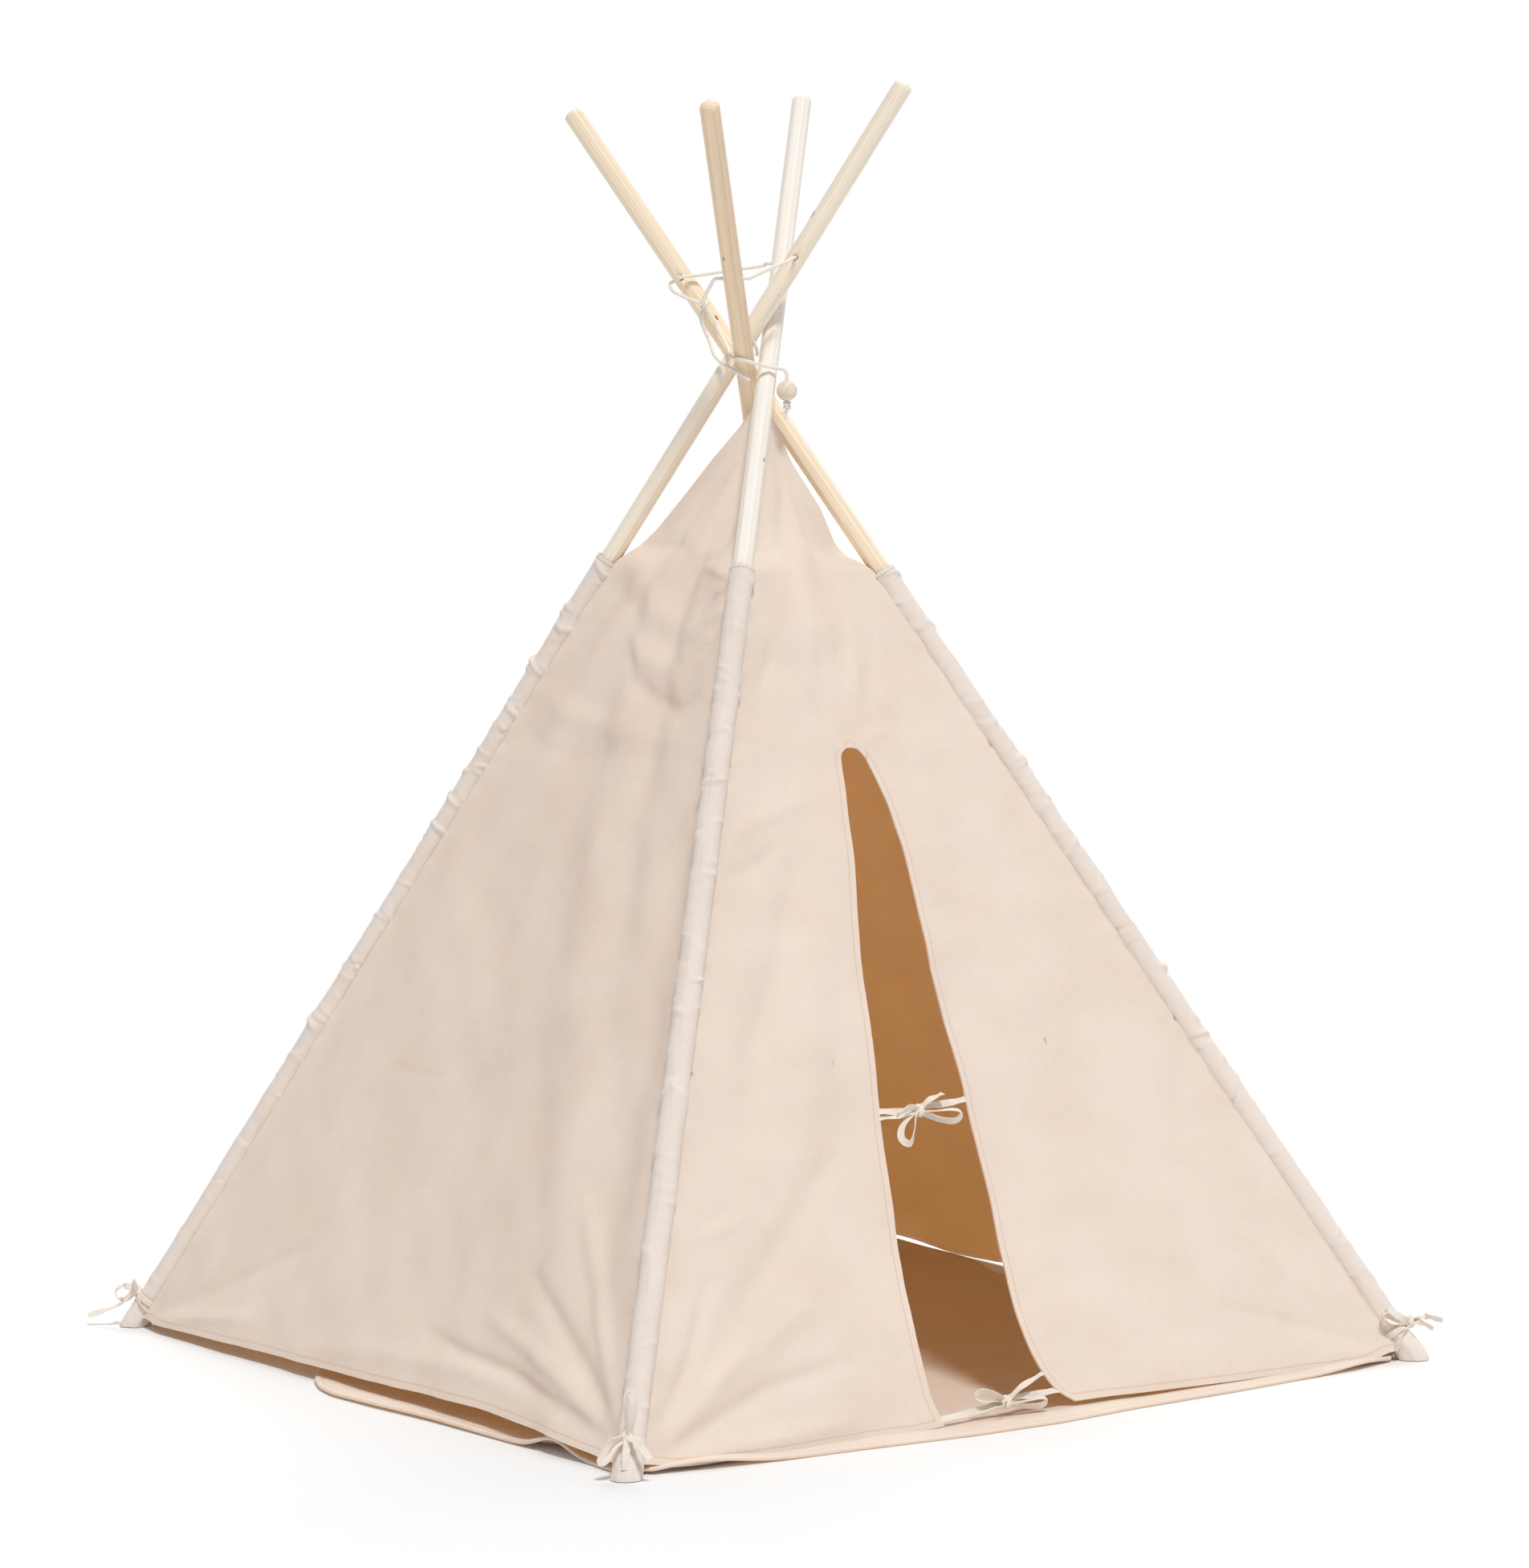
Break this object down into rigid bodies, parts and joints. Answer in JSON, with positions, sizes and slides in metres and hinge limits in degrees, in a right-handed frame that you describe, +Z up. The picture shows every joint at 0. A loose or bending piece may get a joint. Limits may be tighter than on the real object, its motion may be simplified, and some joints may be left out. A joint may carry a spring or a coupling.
{
  "type": "play teepee",
  "caption": "Child's play teepee: leaning wooden poles lashed at the crown, a canvas cover on pole sleeves with a tied slit door, and a floor mat.",
  "frame": {"origin": "on the floor under the middle of the square base, on the mat's underside", "axes": "+Z up, -Y out through the door wall, +X to the right of someone who faces the door"},
  "size_m": [1.2156, 1.2157, 1.543],
  "materials": {
    "pine": "satin",
    "canvas": "matte",
    "tape": "matte",
    "cord": "matte"
  },
  "bodies": {
    "mat": {"floor_mat": "canvas"},
    "crown": {"wall_left": "canvas", "wall_back": "canvas", "wall_right": "canvas", "door_panel_left": "canvas", "door_panel_right": "canvas", "lashing_cord": "cord"},
    "leg_front_left": {"pole_front_left": "pine", "sleeve_front_left": "canvas", "foot_cuff_front_left": "canvas", "foot_tie_front_left": "tape"},
    "leg_front_right": {"pole_front_right": "pine", "sleeve_front_right": "canvas", "foot_cuff_front_right": "canvas", "foot_tie_front_right": "tape"},
    "leg_back_left": {"pole_back_left": "pine", "sleeve_back_left": "canvas", "foot_cuff_back_left": "canvas", "foot_tie_back_left": "tape"},
    "leg_back_right": {"pole_back_right": "pine", "sleeve_back_right": "canvas", "foot_cuff_back_right": "canvas", "foot_tie_back_right": "tape"},
    "left_flap": {"door_flap_left": "canvas", "door_bow": "tape", "threshold_bow": "tape"},
    "right_flap": {"door_flap_right": "canvas", "door_strap": "tape", "threshold_strap": "tape"},
    "bead": {"lashing_bead": "pine"}
  },
  "joints": [
    {"name": "crown_lift", "type": "slide", "parent": "mat", "child": "crown", "axis": [0, 0, 1], "range_m": [0, 0.39], "deforming": ["wall_left", "wall_back", "wall_right", "door_panel_left", "door_panel_right", "lashing_cord", "floor_mat"]},
    {"name": "fold_front_left", "type": "hinge", "parent": "crown", "child": "leg_front_left", "pos_m": [0.006, -0.027, 1.2], "axis": [0.6859, -0.7277, 0], "range_deg": [0, 27]},
    {"name": "fold_front_right", "type": "hinge", "parent": "crown", "child": "leg_front_right", "pos_m": [0.014, 0.038, 1.2], "axis": [0.7381, 0.6747, 0], "range_deg": [0, 27]},
    {"name": "fold_back_left", "type": "hinge", "parent": "crown", "child": "leg_back_left", "pos_m": [-0.021, 0.017, 1.2], "axis": [-0.7097, -0.7045, 0], "range_deg": [0, 27]},
    {"name": "fold_back_right", "type": "hinge", "parent": "crown", "child": "leg_back_right", "pos_m": [-0.018, -0.014, 1.2], "axis": [-0.7047, 0.7095, 0], "range_deg": [0, 27]},
    {"name": "open_left_flap", "type": "hinge", "parent": "crown", "child": "left_flap", "pos_m": [-0.32988, -0.56318, 0.01136], "axis": [-0.3681, -0.4005, -0.8391], "range_deg": [0, 110]},
    {"name": "open_right_flap", "type": "hinge", "parent": "crown", "child": "right_flap", "pos_m": [0.33012, -0.56318, 0.01136], "axis": [-0.3516, 0.4033, 0.8448], "range_deg": [0, 110]},
    {"name": "bead_slide", "type": "slide", "parent": "crown", "child": "bead", "axis": [0, 0, 1], "range_m": [0, 0.006]}
  ],
  "couplings": [
    {"joint": "fold_front_left", "follows": "crown_lift", "rad_per_m": 1.2048},
    {"joint": "fold_front_right", "follows": "crown_lift", "rad_per_m": 1.2048},
    {"joint": "fold_back_left", "follows": "crown_lift", "rad_per_m": 1.2048},
    {"joint": "fold_back_right", "follows": "crown_lift", "rad_per_m": 1.2048}
  ]
}
